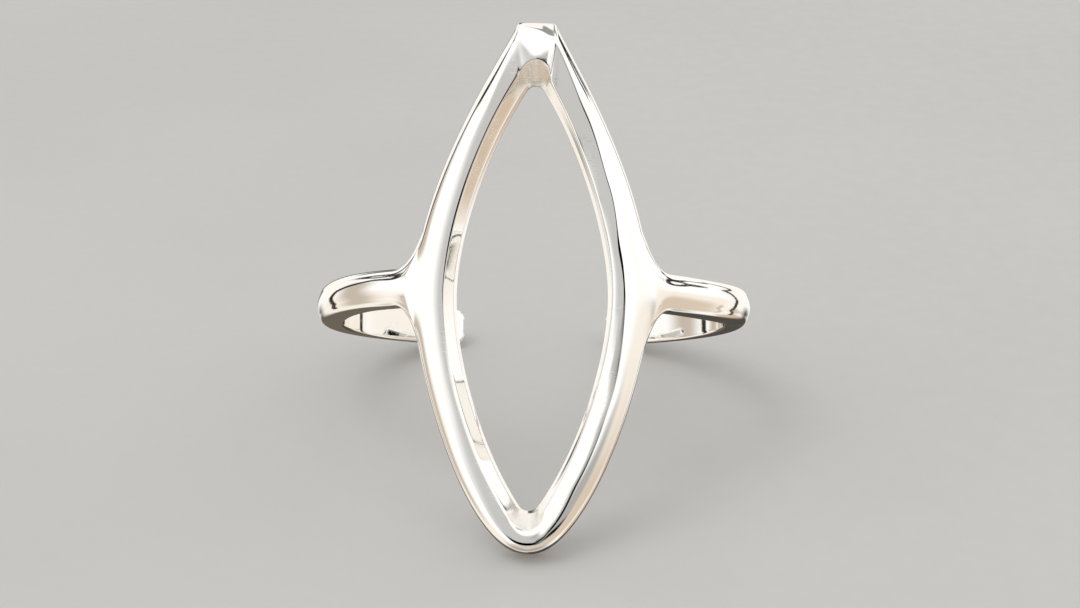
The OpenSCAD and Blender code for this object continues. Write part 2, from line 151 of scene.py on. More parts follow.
# Turn of the front against the shank, and the places round the finger between which it ends
FRONT_TURN = 0.9
TURN_ENDS = (8.0, 15.0)

# The shoulders: where they leave the front's outline, where they have become the shank, the height of
# their face, the pull of their curves at both ends and the most of the way that it takes, and the
# outward turn of the edge curves and how quickly it fades towards the middle
SHOULDER_TOP = 2.5
SHOULDER_BOTTOM = -2.65
SHOULDER_S = 6.4
SHOULDER_H = 1.3
FILLET_PULL = (0.5, 0.9)
FILLET_REACH = 0.6
FILLET_TURN = 0.3
FILLET_SPREAD = 1.6
# Rough ways out of a shoulder's upper and lower edge
UPPER_SIDE = Vector((0.3, 1))
LOWER_SIDE = Vector((0.3, -1))

# Steps of the mesh, along the front, across it and along an arm, and how often it is then subdivided
STEPS_FLAT = 4
STEPS_CORNER = 4
STEPS_UPPER = 34
STEPS_SHOULDER = 9
STEPS_LOWER = 30
STEPS_TIP = 12
STEPS_EDGE = 4
STEPS_FACE = 9
STEPS_RIDGE = 4
STEPS_INNER = 4
STEPS_INSIDE = 6
STEPS_FILLET = 14
STEPS_SHANK = 46
STEPS_END = 8
SUBDIVISIONS = 1
# Halvings in the search for a height on a curve, and the step that gives a curve's direction
HALVINGS = 30
SMALL = 0.001

# Metres in a millimetre
MM = 0.001


def bezier(p, t):
    """Point of a cubic curve."""
    u = 1 - t
    return u ** 3 * p[0] + 3 * u * u * t * p[1] + 3 * u * t * t * p[2] + t ** 3 * p[3]


def soft(x):
    """0 up to 0, 1 from 1 on, and smooth between them."""
    x = min(1, max(0, x))
    return x * x * (3 - 2 * x)


def mix(a, b, f):
    return a * (1 - f) + b * f


def at(values, x):
    """Value between two items of a list."""
    k = min(int(x), len(values) - 2)
    return mix(values[k], values[k + 1], x - k)


def tip_arc(r, tip_z, angle, up):
    """Point at an angle on the arc of a tip; up is 1 for the upper half, -1 for the lower."""
    a = math.radians(angle)
    return Vector((r * math.cos(a), up * (tip_z - r + r * math.sin(a))))


def side_curve(start, slope, pull, half_w, up):
    """Curve from a tip to the widest place."""
    a = math.radians(slope)
    return (start, start + pull[1] * Vector((math.sin(a), -up * math.cos(a))),
            Vector((half_w, WIDEST_Z + up * pull[0])), Vector((half_w, WIDEST_Z)))


def curve_at_z(p, z):
    """Parameter at which a side curve reaches the height z."""
    lo, hi = 0.0, 1.0
    for _ in range(HALVINGS):
        mid = (lo + hi) / 2
        if (bezier(p, mid).y - z) * (p[0].y - p[3].y) > 0:
            lo = mid
        else:
            hi = mid
    return (lo + hi) / 2


def spread(first, last, steps):
    """The places after first, up to last."""
    return [mix(first, last, k / steps) for k in range(1, steps + 1)]


def half_outlines():
    """Half outlines of the front and of its opening, from the upper tip to the lower one."""
    corner = Vector((TIP_FLAT, FRONT_TOP - TIP_CORNER))

    def on_corner(angle):
        a = math.radians(angle)
        return corner + TIP_CORNER * Vector((math.cos(a), math.sin(a)))

    front = (side_curve(on_corner(UPPER_SLOPE), UPPER_SLOPE, FRONT_PULL[0], FRONT_HALF_W, 1),
             side_curve(tip_arc(LOWER_TIP_R, FRONT_BOTTOM, LOWER_SLOPE, -1),
                        LOWER_SLOPE, FRONT_PULL[1], FRONT_HALF_W, -1))
    opening = (side_curve(tip_arc(OPENING_TOP_R, OPENING_TOP, OPENING_TOP_SLOPE, 1),
                          OPENING_TOP_SLOPE, OPENING_PULL[0], OPENING_HALF_W, 1),
               side_curve(tip_arc(OPENING_BOTTOM_R, OPENING_BOTTOM, OPENING_BOTTOM_SLOPE, -1),
                          OPENING_BOTTOM_SLOPE, OPENING_PULL[1], OPENING_HALF_W, -1))
    t0 = curve_at_z(front[0], SHOULDER_TOP)
    t1 = curve_at_z(front[1], SHOULDER_BOTTOM)
    upper = spread(0, t0, STEPS_UPPER) + spread(t0, 1, STEPS_SHOULDER)
    lower = spread(1, t1, STEPS_SHOULDER) + spread(t1, 0, STEPS_LOWER)

    front_half = [Vector((TIP_FLAT * k / STEPS_FLAT, FRONT_TOP)) for k in range(STEPS_FLAT)]
    front_half += [on_corner(mix(90, UPPER_SLOPE, k / STEPS_CORNER)) for k in range(STEPS_CORNER + 1)]
    front_half += [bezier(front[0], t) for t in upper] + [bezier(front[1], t) for t in lower]
    front_half += [tip_arc(LOWER_TIP_R, FRONT_BOTTOM, a, -1) for a in spread(LOWER_SLOPE, 90, STEPS_TIP)]

    cut = STEPS_FLAT + STEPS_CORNER
    opening_half = [tip_arc(OPENING_TOP_R, OPENING_TOP, mix(90, OPENING_TOP_SLOPE, k / cut), 1)
                    for k in range(cut + 1)]
    opening_half += [bezier(opening[0], t) for t in upper] + [bezier(opening[1], t) for t in lower]
    opening_half += [tip_arc(OPENING_BOTTOM_R, OPENING_BOTTOM, a, -1)
                     for a in spread(OPENING_BOTTOM_SLOPE, 90, STEPS_TIP)]
    return front_half, opening_half


def whole(half):
    """A whole outline, down the right side and up the left one."""
    return half + [Vector((-p.x, p.y)) for p in half[-2:0:-1]]


def ways_out(line):
    """Direction out of an outline at each of its points."""
    n = len(line)
    steps = [line[(k + 1) % n] - line[k - 1] for k in range(n)]
    return [Vector((-v.y, v.x)).normalized() for v in steps]


FRONT_HALF, OPENING_HALF = half_outlines()
FRONT_LINE = whole(FRONT_HALF)
OPENING_LINE = whole(OPENING_HALF)
FRONT_OUT = ways_out(FRONT_LINE)
OPENING_OUT = ways_out(OPENING_LINE)
LOOP_N = len(FRONT_LINE)


def in_point(k, slope, up):
    """How far an outline point lies in the opening's upper or lower point, 0 on its sides."""
    out = OPENING_OUT[k]
    angle = math.degrees(math.atan2(up * out.y, abs(out.x)))
    start = POINT_START * slope
    return soft((angle - start) / (90 - start))


TOP_SHARE = [in_point(k, OPENING_TOP_SLOPE, 1) for k in range(LOOP_N)]
BOTTOM_SHARE = [in_point(k, OPENING_BOTTOM_SLOPE, -1) for k in range(LOOP_N)]


def right_share(p):
    """1 on the right side, 0 on the left one."""
    return soft(p.x / SIDE_BLEND / 2 + 0.5)


def flared(k, flare, h):
    """Plan point in the opening's wall at a height above the finger, a flare further out than its foot."""
    foot = OPENING_LINE[k] - DRAFT * OPENING_OUT[k]
    across = (FINGER_R + COMFORT_R) * math.sin(foot.x / PLAN_R) + flare * OPENING_OUT[k].x
    return Vector((PLAN_R * math.asin(across / (FINGER_R + h)), foot.y + flare * OPENING_OUT[k].y))


def front_flare(k):
    """Flare of the opening at its front edge; the sides' values meet in the middle of the points."""
    side = mix(*FLARE, right_share(OPENING_LINE[k]))
    return side + (TOP_FLARE - side) * TOP_SHARE[k] + (BOTTOM_FLARE - side) * BOTTOM_SHARE[k]


INNER_LINE = [flared(k, front_flare(k), RIDGE_H) for k in range(LOOP_N)]
WAIST_LINE = [flared(k, WAIST_FLARE, WAIST_H) for k in range(LOOP_N)]

# Sections between which the shoulder leaves the front, on the right side
SHOULDER_K0 = STEPS_FLAT + STEPS_CORNER + STEPS_UPPER
SHOULDER_K1 = SHOULDER_K0 + 2 * STEPS_SHOULDER
SEAM_N = 2 * STEPS_SHOULDER


def shoulder_share(z):
    """1 in the middle of the shoulder and 0 away from it."""
    mid = (SHOULDER_TOP + SHOULDER_BOTTOM) / 2
    half = (SHOULDER_TOP - SHOULDER_BOTTOM) / 2
    return soft(1 - abs(z - mid) / half)


SHOULDER_SHARE = [shoulder_share(p.y) for p in FRONT_LINE]


def cut_share(p):
    """1 on the flat cut of the upper tip, 0 past its corners."""
    return soft((TIP_FLAT + TIP_CORNER - abs(p.x)) / TIP_CORNER) if p.y > OPENING_TOP else 0


CUT_SHARE = [cut_share(p) for p in FRONT_LINE]
RIGHT_SHARE = [right_share(p) for p in FRONT_LINE]


def along_finger(table, z):
    """Values of a table at the height z."""
    for (high, *above), (low, *below) in zip(table, table[1:]):
        if z >= low:
            f = soft((z - low) / (high - low))
            return [mix(b, a, f) for a, b in zip(above, below)]
    return table[-1][1:]


def wrap(p, h):
    """Plan point and height above the finger, as a point round the finger."""
    a = p.x / PLAN_R
    r = FINGER_R + h
    return Vector((r * math.sin(a), -r * math.cos(a), p.y))


def quarter(k):
    """Sine and cosine of the angle at a step of an edge's rounding."""
    a = math.pi / 2 * k / STEPS_EDGE
    return math.sin(a), math.cos(a)


def ridge_place(k):
    """Place of the ridge across the face."""
    on_side = mix(*along_finger(RIDGE_AT, FRONT_LINE[k].y), RIGHT_SHARE[k])
    on_cut = mix(*CUT_RIDGE_AT, (FRONT_LINE[k].x / TIP_FLAT + 1) / 2)
    return mix(on_side, on_cut, CUT_SHARE[k])


RIDGE_PLACE = [ridge_place(k) for k in range(LOOP_N)]


def outside_round(k, angle):
    """Plan point and height on the rounded outside of the front, from its edge to the ridge."""
    a = math.radians(angle)
    x = RIDGE_PLACE[k] * (1 - math.cos(a))
    h = EDGE_H + (RIDGE_H - EDGE_H) * math.sin(a)
    on_facet = max(0, (angle - RIM_ANGLE) / (90 - RIM_ANGLE))
    flat_x = RIDGE_PLACE[k] * on_facet
    flat_h = mix(EDGE_H, CUT_H, angle / RIM_ANGLE) if angle < RIM_ANGLE else mix(CUT_H, RIDGE_H, on_facet)
    return (mix(FRONT_LINE[k], INNER_LINE[k], mix(x, flat_x, CUT_SHARE[k])), mix(h, flat_h, CUT_SHARE[k]))


def outside_flat(k, x):
    """The same on the shoulder, where the arm carries on into the face."""
    start = FRONT_LINE[k] - ARM_EDGE[0] * FRONT_OUT[k]
    return mix(start, INNER_LINE[k], RIDGE_PLACE[k] * x), mix(SHOULDER_H, RIDGE_H, soft(x))


def outside(k, x):
    """The two blended; x is 0 at the top of the rim and 1 on the ridge."""
    p, h = outside_round(k, mix(RIM_ANGLE, 90, x))
    q, g = outside_flat(k, x)
    return mix(p, q, SHOULDER_SHARE[k]), mix(h, g, SHOULDER_SHARE[k])


def comfort(edge, out):
    """Rounding at the finger side of an outer wall."""
    return [wrap(edge - COMFORT_R * (1 - s) * out, COMFORT_R * (1 - c))
            for s, c in (quarter(k) for k in range(STEPS_EDGE + 1))]


def rim_edge(k):
    """Plan points and heights of the front's own edge, up to the top of its rim."""
    return [outside_round(k, RIM_ANGLE * j / STEPS_EDGE) for j in range(STEPS_EDGE)] + [outside(k, 0)]


def rim(k):
    """Wall under the front's outer edge, from the finger side up to the start of the face."""
    return comfort(FRONT_LINE[k], FRONT_OUT[k]) + [wrap(p, h) for p, h in rim_edge(k)]


RIM_N = 2 * STEPS_EDGE + 2


def arm_wall(edge, out, h, own):
    """Wall under an arm's edge; own are the insets and heights of its rounding."""
    return comfort(edge, out) + [wrap(edge - inset * out, g) for inset, g in own(h)]


def arm_edge(h):
    """Insets and heights of the rounding of an arm's edge, up to a height."""
    return [(ARM_EDGE[0] * (1 - c), h - ARM_EDGE[1] * (1 - s))
            for s, c in (quarter(k) for k in range(STEPS_EDGE + 1))]


def facing(k, turn, steepest):
    """Slope of the face towards the opening with which it looks a turn past the viewer."""
    way = (INNER_LINE[k] - FRONT_LINE[k]).normalized()
    sideways = max(abs(FRONT_OUT[k].x), LEAST_SIDEWAYS)
    slope = math.tan(abs(INNER_LINE[k].x) / PLAN_R + math.radians(turn)) / sideways
    return min(steepest, slope) * -way.dot(FRONT_OUT[k])


def creased(k):
    """1 where the ridge is a crease."""
    return RIGHT_SHARE[k] * (1 - max(CUT_SHARE[k], BOTTOM_SHARE[k]))


def inner_face(k, x):
    """Plan point and height between the ridge, at 0, and the opening's front edge, at 1."""
    width = (1 - RIDGE_PLACE[k]) * (INNER_LINE[k] - FRONT_LINE[k]).length
    rise = mix(TIP_RISE * TOP_SHARE[k], -facing(k, CREASE_TURN, CREASE_SLOPE), creased(k))
    turn = along_finger(CREASE, FRONT_LINE[k].y)[1]
    end = mix(facing(k, 0, INNER_SLOPE), facing(k, turn, CREASE_SLOPE), creased(k) * (1 - TOP_SHARE[k]))
    fall = rise + end
    at_edge = max(0, (x - 1) * width / EDGE_TURN_W + 1) * (1 - max(TOP_SHARE[k], BOTTOM_SHARE[k]))
    extra = EDGE_TURN * EDGE_TURN_W * at_edge ** 2 / 2 * (1 - RIGHT_SHARE[k])
    return (mix(FRONT_LINE[k], INNER_LINE[k], mix(RIDGE_PLACE[k], 1, x)),
            RIDGE_H + rise * width * x - fall * width * x * x / 2 - extra)


def inner_edge(k):
    """Rounded front edge of the opening, between the face and the wall."""
    side_r = mix(*INNER_EDGE_R, RIGHT_SHARE[k])
    r = mix(side_r, POINT_EDGE_R[OPENING_LINE[k].y < 0], max(TOP_SHARE[k], BOTTOM_SHARE[k]))
    corner, corner_h = inner_face(k, 1)
    width = (1 - RIDGE_PLACE[k]) * (corner - FRONT_LINE[k]).length
    x = 1 - min(INNER_REACH, r / width)
    start, start_h = inner_face(k, x)
    low = WAIST_LINE[k]
    length = math.hypot((low - corner).length, corner_h - WAIST_H)
    end, end_h = mix(corner, low, r / length), mix(corner_h, WAIST_H, r / length)
    points = []
    for j in range(STEPS_EDGE + 1):
        s = j / STEPS_EDGE
        points.append((mix(mix(start, corner, s), mix(corner, end, s), s),
                       mix(mix(start_h, corner_h, s), mix(corner_h, end_h, s), s)))
    return x, points


def ridge(k, before, after):
    """Points over the ridge, rounded between two places beside it."""
    (p0, h0), (p1, h1), (p2, h2) = outside(k, before), outside(k, 1), inner_face(k, after)
    points = []
    for j in range(STEPS_RIDGE + 1):
        u = j / STEPS_RIDGE
        points.append((mix(mix(p0, p1, u), mix(p1, p2, u), u), mix(mix(h0, h1, u), mix(h1, h2, u), u)))
    return points


def face(k):
    """Points across the face and the opening's front edge."""
    width = (INNER_LINE[k] - FRONT_LINE[k]).length
    r = mix(SOFT_R, along_finger(CREASE, FRONT_LINE[k].y)[0], creased(k))
    before = 1 - min(RIDGE_REACH, r / (RIDGE_PLACE[k] * width))
    after = min(RIDGE_REACH, r / ((1 - RIDGE_PLACE[k]) * width))
    outer = [outside(k, x) for x in spread(0, before, STEPS_FACE)[:-1]] + ridge(k, before, after)
    last, edge = inner_edge(k)
    turn = max(after + EDGE_TURN_GAP, last - EDGE_TURN_W / ((1 - RIDGE_PLACE[k]) * width))
    places = spread(after, turn, STEPS_INNER - 1) + [mix(turn, last, 0.5)]
    inner = [inner_face(k, x) for x in places]
    return [wrap(p, h) for p, h in outer + inner + edge]


def opening_wall(k):
    """Wall of the opening, from under its front edge down to the finger side."""
    out = OPENING_OUT[k]
    foot = OPENING_LINE[k] - DRAFT * out
    _, edge = inner_edge(k)
    (top, top_h), low = edge[-1], WAIST_LINE[k]
    upper = WAIST_R / math.hypot((top - low).length, top_h - WAIST_H)
    lower = WAIST_R / (WAIST_H - COMFORT_R)
    bend = [(mix(top, low, 0.5), mix(top_h, WAIST_H, 0.5)),
            (mix(low, top, upper), mix(WAIST_H, top_h, upper)), (low, WAIST_H),
            (mix(low, foot, lower), mix(WAIST_H, COMFORT_R, lower))]
    turns = [quarter(j) for j in range(STEPS_EDGE, -1, -1)]
    return ([wrap(p, h) for p, h in bend]
            + [wrap(foot + COMFORT_R * (1 - s) * out, COMFORT_R * (1 - c)) for s, c in turns])


def inside(k):
    """Points across the finger side of the front, from the opening back to the outline."""
    a = OPENING_LINE[k] + (COMFORT_R - DRAFT) * OPENING_OUT[k]
    b = FRONT_LINE[k] - COMFORT_R * FRONT_OUT[k]
    return [wrap(mix(a, b, j / STEPS_INSIDE), 0) for j in range(1, STEPS_INSIDE)]


def section(k):
    """Closed ring of points round the front's metal."""
    return rim(k) + face(k) + opening_wall(k) + inside(k)


def on_shoulder(k):
    return SHOULDER_K0 <= k < SHOULDER_K1 or LOOP_N - SHOULDER_K1 <= k < LOOP_N - SHOULDER_K0


def front_mesh():
    """Points and quads of the openwork front, open where the arms leave it."""
    sections = [section(k) for k in range(LOOP_N)]
    n = len(sections[0])
    quads = []
    for k in range(LOOP_N):
        k2 = (k + 1) % LOOP_N
        for j in range(n):
            if j >= RIM_N - 1 or not on_shoulder(k):
                j2 = (j + 1) % n
                quads.append((k * n + j, k * n + j2, k2 * n + j2, k2 * n + j))
    return [p for s in sections for p in s], quads, n


END_S = math.radians(180 - GAP_HALF) * PLAN_R
TAPER = (END_W - SHANK_W) / 2 / (END_S - SHOULDER_S)
SEAM_LINE = FRONT_LINE[SHOULDER_K0:SHOULDER_K1 + 1]
SEAM_OUT = FRONT_OUT[SHOULDER_K0:SHOULDER_K1 + 1]
SEAM_H = [outside(k, 0)[1] for k in range(SHOULDER_K0, SHOULDER_K1 + 1)]
SEAM_IN = [(outside(k, 0)[0] - FRONT_LINE[k]).length for k in range(SHOULDER_K0, SHOULDER_K1 + 1)]
SEAM_EDGE = [((p - FRONT_LINE[SHOULDER_K0]).length, h) for p, h in rim_edge(SHOULDER_K0)]


def square_to(v, guide):
    """Of the two directions square to v, the one on the side of guide."""
    n = Vector((-v.y, v.x)).normalized()
    return -n if n.dot(guide) < 0 else n


UPPER_LEAVE = (square_to(SEAM_OUT[0], Vector((0, -1))) + FILLET_TURN * SEAM_OUT[0]).normalized()
LOWER_LEAVE = (square_to(SEAM_OUT[-1], Vector((0, 1))) + FILLET_TURN * SEAM_OUT[-1]).normalized()


def along(s):
    """0 at the shoulder and 1 at the free end."""
    return (s - SHOULDER_S) / (END_S - SHOULDER_S)


def shank_half_w(s):
    return mix(SHANK_W, END_W, along(s)) / 2


def shank_h(s, q):
    """Height of the shank's outside; q is 0 at its upper edge and 1 at its lower one."""
    return mix(SHANK_T, END_T, along(s)) - SHANK_CROWN * (2 * q - 1) ** 2


def fillet_curve(q):
    """Curve of the shoulder from the front's outline to the shank."""
    start = at(SEAM_LINE, q * SEAM_N)
    end = Vector((SHOULDER_S, SHANK_W / 2 * (1 - 2 * q)))
    inner = soft(FILLET_SPREAD * (1 - abs(2 * q - 1)))
    edge_way = UPPER_LEAVE if q < 0.5 else LOWER_LEAVE
    leave = mix(edge_way, at(SEAM_OUT, q * SEAM_N), inner).normalized()
    reach = FILLET_REACH * (end - start).length
    return (start, start + min(FILLET_PULL[0], reach) * leave,
            end - min(FILLET_PULL[1], reach) * Vector((1, TAPER * (1 - 2 * q))), end)


def arm_ring(plan, hs, up_out, low_out, insets, own):
    """Closed ring of points from the plan of its outside, upper to lower edge."""
    outs = [mix(up_out, low_out, k / SEAM_N) for k in range(SEAM_N + 1)]
    outer_side = [wrap(p - inset * o, h) for p, inset, o, h in zip(plan, insets, outs, hs)]
    low_wall = arm_wall(plan[-1], low_out, hs[-1], own)
    up_wall = arm_wall(plan[0], up_out, hs[0], own)
    finger_side = [wrap(p - COMFORT_R * o, 0) for p, o in zip(plan, outs)]
    return outer_side + low_wall[-2::-1] + finger_side[-2::-1] + up_wall[1:-1]


def fillet_ring(u):
    """Ring across the shoulder, from 0 at the front to 1 at the shank."""
    curves = [fillet_curve(k / SEAM_N) for k in range(SEAM_N + 1)]
    plan = [bezier(c, u) for c in curves]
    up_way = plan[0] - bezier(curves[0], u - SMALL)
    low_way = plan[-1] - bezier(curves[-1], u - SMALL)
    hs = [mix(SEAM_H[k], shank_h(SHOULDER_S, k / SEAM_N), soft(u)) for k in range(SEAM_N + 1)]
    insets = [mix(SEAM_IN[k], ARM_EDGE[0], soft(u)) for k in range(SEAM_N + 1)]

    def own(h):
        return [(mix(a[0], b[0], soft(u)), mix(a[1], b[1], soft(u)))
                for a, b in zip(SEAM_EDGE, arm_edge(h))]

    return arm_ring(plan, hs, square_to(up_way, UPPER_SIDE), square_to(low_way, LOWER_SIDE), insets, own)


def shank_ring(s, turn=0.0):
    """Ring across the shank; turn grows from 0 in the rounding of its free end."""
    narrow = math.cos(turn)
    plan = [Vector((s, shank_half_w(s) * narrow * (1 - 2 * k / SEAM_N))) for k in range(SEAM_N + 1)]
    hs = [shank_h(s, k / SEAM_N) * mix(END_LOW, 1, narrow) for k in range(SEAM_N + 1)]
    insets = [ARM_EDGE[0] * narrow] * (SEAM_N + 1)

    def own(h):
        return [(inset * narrow, g) for inset, g in arm_edge(h)]

    return arm_ring(plan, hs, Vector((math.sin(turn), narrow)), Vector((math.sin(turn), -narrow)),
                    insets, own)


def arm_rings():
    """Every ring of the right arm, from the shoulder to the free end."""
    straight_s = END_S - END_ROUND
    rings = [fillet_ring(k / STEPS_FILLET) for k in range(1, STEPS_FILLET + 1)]
    rings += [shank_ring(s) for s in spread(SHOULDER_S, straight_s, STEPS_SHANK)]
    full = math.sin(math.radians(END_ANGLE))
    for angle in spread(0, END_ANGLE, STEPS_END):
        a = math.radians(angle)
        rings.append(shank_ring(straight_s + END_ROUND * math.sin(a) / full, a))
    return rings


def seam_ids(ks, n):
    """Point numbers of the seam on the front, in the order of an arm's ring."""
    first, last = ks[0] * n, ks[-1] * n
    return ([k * n + RIM_N - 1 for k in ks] + [last + j for j in range(RIM_N - 2, -1, -1)]
            + [k * n for k in ks[-2::-1]] + [first + j for j in range(1, RIM_N - 1)])


def arm_quads(ks, n, base, rings):
    """Quads of an arm, and the cap of its free end."""
    size = len(rings[0])
    ids = [seam_ids(ks, n)]
    ids += [[base + r * size + j for j in range(size)] for r in range(len(rings))]
    quads = []
    for a, b in zip(ids, ids[1:]):
        quads += [(a[j], a[(j + 1) % size], b[(j + 1) % size], b[j]) for j in range(size)]
    end = ids[-1]
    low = SEAM_N + RIM_N - 1
    up = low + SEAM_N
    quads += [(end[k], end[k + 1], end[up - k - 1], end[up - k]) for k in range(SEAM_N)]
    quads.append(tuple(end[SEAM_N:low + 1]))
    quads.append(tuple(end[up:] + end[:1]))
    return quads


def askew(p):
    """The front sits turned a little against the shank, clockwise as seen from the front."""
    angle = math.atan2(p.x, -p.y)
    s = PLAN_R * angle
    share = 1 - soft((abs(s) - TURN_ENDS[0]) / (TURN_ENDS[1] - TURN_ENDS[0]))
    turn = math.sin(math.radians(FRONT_TURN)) * share
    angle += turn * p.z / PLAN_R
    r = math.hypot(p.x, p.y)
    return Vector((r * math.sin(angle), -r * math.cos(angle), p.z - turn * s))


def ring_mesh():
    """The whole ring, smooth, upright round the finger's axis, in millimetres."""
    points, quads, n = front_mesh()
    rings = arm_rings()
    arm = [p for r in rings for p in r]
    right = list(range(SHOULDER_K0, SHOULDER_K1 + 1))
    left = [LOOP_N - k for k in right]
    quads += arm_quads(right, n, len(points), rings)
    quads += [tuple(reversed(q)) for q in arm_quads(left, n, len(points) + len(arm), rings)]
    points = [askew(p) for p in points + arm + [Vector((-p.x, p.y, p.z)) for p in arm]]
    mesh = bpy.data.meshes.new("silver_ring")
    mesh.from_pydata(points, [], quads)
    mesh.validate()
    mesh.polygons.foreach_set("use_smooth", [True] * len(mesh.polygons))
    return mesh


def finger_place():
    """From the upright ring in millimetres to its place in the frame."""
    mount = next(m for m in frame["record"]["mounts"] if m["name"] == "finger_hole")
    axis = Vector(mount["axis"])
    lean = math.atan2(axis.y, axis.z)
    return (Matrix.Translation(Vector(mount["pos_m"])) @ Matrix.Rotation(-lean, 4, "X")
            @ Matrix.Scale(MM, 4))


PLACE = finger_place()


def node(tree, kind, **values):
    """A new shader node; a value is set on the input of that name, or linked if it is a socket."""
    made = tree.nodes.new(kind)
    for name, value in values.items():
        if hasattr(made, name):
            setattr(made, name, value)
            continue
        socket = made.inputs[int(name[1:])] if name[1:].isdigit() else made.inputs[name]
        if isinstance(value, bpy.types.NodeSocket):
            tree.links.new(value, socket)
        else:
            socket.default_value = value
    return made


def ranged(tree, value, low, high, ends):
    """A value turned from one range into another, smoothly and without leaving it."""
    part = node(tree, "ShaderNodeMapRange", interpolation_type="SMOOTHSTEP", Value=value)
    part.inputs["From Min"].default_value = low
    part.inputs["From Max"].default_value = high
    part.inputs["To Min"].default_value, part.inputs["To Max"].default_value = ends
    return part.outputs["Result"]


def maths(tree, operation, a, b):
    return node(tree, "ShaderNodeMath", operation=operation, i0=a, i1=b).outputs["Value"]


def times(tree, a, b):
    return maths(tree, "MULTIPLY", a, b)


def vectors(tree, operation, result, **values):
    """Result of an operation on vectors: a vector or a value."""
    return node(tree, "ShaderNodeVectorMath", operation=operation, **values).outputs[result]


def blend(tree, share, below, above):
    """One colour over another."""
    return node(tree, "ShaderNodeMix", data_type="RGBA", i0=share, i6=below, i7=above).outputs[2]


def noise(tree, place, scale, detail):
    return node(tree, "ShaderNodeTexNoise", Vector=place, Scale=scale, Detail=detail).outputs[0]


def pattern(tree, place, scale, detail, low, high, ends):
    """Noise whose values from low to high are turned into shares between two ends."""
    return ranged(tree, noise(tree, place, scale, detail), low, high, ends)


def new_material(name):
    """A material, its nodes and its shader."""
    material = bpy.data.materials.new(name)
    material.use_nodes = True
    return material, material.node_tree, material.node_tree.nodes["Principled BSDF"]


def link_surface(tree, shader, colour, roughness, bump):
    """What varies over a surface, linked to its shader."""
    tree.links.new(colour, shader.inputs["Base Color"])
    tree.links.new(roughness, shader.inputs["Roughness"])
    tree.links.new(bump.outputs["Normal"], shader.inputs["Normal"])


# Silver, its colour where it has been handled and in its creases, and how much of these two shows
SILVER = (0.95, 0.94, 0.915, 1)
HANDLED = (0.93, 0.905, 0.86, 1)
CREASES = (0.86, 0.81, 0.74, 1)
HANDLED_SHARE = 0.7
CREASES_SHARE = 0.8
# Roughness of the clean and of the smudged metal, and what worn edges, scratches and dull places add
CLEAN_ROUGHNESS = 0.012
SMUDGED_ROUGHNESS = 0.035
WORN_ROUGHNESS = 0.05
SCRATCHED_ROUGHNESS = 0.1
DULL_ROUGHNESS = 0.22
# Sharpness of the surface, 0.5 where it is flat, between which edges are worn and hollows are creases
WORN_EDGES = (0.52, 0.6)
CREASED_HOLLOWS = (0.4, 0.48)
# Patterns on the metal: noise per millimetre, its detail, the range taken from it and the shares that
# it becomes
SCRATCH_LINES = (1.0, 2.0, 0.64, 0.7, (0, 1))
SCRATCH_PATCHES = (0.9, 2.0, 0.4, 0.65, (0.15, 1))
SMUDGES = (0.35, 4.0, 0.38, 0.68, (0, 1))
WEAR = (2.4, 3.0, 0.4, 0.6, (0.3, 1))
# Fine scratches are stretched noise: the way they run, in degrees, and how much longer than wide they
# are, and the waves of their noise in a millimetre across them
SCRATCHES = (((12, 0, 35), 26), ((70, 20, -50), 34), ((-35, 60, 10), 22))
SCRATCH_WAVES = 18
# Depth of the scratches and how clearly it shows, and height, size and detail of the faint waves that
# polishing leaves
SCRATCH_DEPTH = 0.0007
SCRATCH_STRENGTH = 0.6
WAVE_HEIGHT = 0.0004
WAVES = (1.1, 1.0)
# Duller places, in the two points of the opening, where polishing hardly reaches: their heights along
# the finger, and how far from there the dullness starts to fade and where it ends
DULL_AT = (OPENING_TOP + 0.3, -OPENING_BOTTOM - 0.3)
DULL_REACH = (0.7, 1.5)


def scratches(tree, place):
    """1 on fine scratches, which gather in patches."""
    found = 0.0
    for turn, stretch in SCRATCHES:
        way = node(tree, "ShaderNodeMapping", Vector=place, Rotation=[math.radians(a) for a in turn],
                   Scale=(SCRATCH_WAVES / stretch, SCRATCH_WAVES, SCRATCH_WAVES)).outputs["Vector"]
        found = maths(tree, "MAXIMUM", found, pattern(tree, way, *SCRATCH_LINES))
    return times(tree, found, pattern(tree, place, *SCRATCH_PATCHES))


def dull_places(tree, place):
    """1 in the two points of the opening."""
    dull = 0.0
    for z in DULL_AT:
        point = PLACE @ wrap(Vector((0, z)), WAIST_H) / MM
        away = vectors(tree, "DISTANCE", "Value", i0=place, i1=point)
        dull = maths(tree, "MAXIMUM", dull, ranged(tree, away, *DULL_REACH, (1, 0)))
    return dull


def polishing_marks(tree, place, scratched):
    """Bump of the faint waves and of the scratches."""
    waves = node(tree, "ShaderNodeBump", Strength=1.0, Distance=WAVE_HEIGHT * MM,
                 Height=noise(tree, place, *WAVES))
    return node(tree, "ShaderNodeBump", Strength=SCRATCH_STRENGTH, Distance=SCRATCH_DEPTH * MM,
                Height=times(tree, scratched, -1.0), Normal=waves.outputs["Normal"])


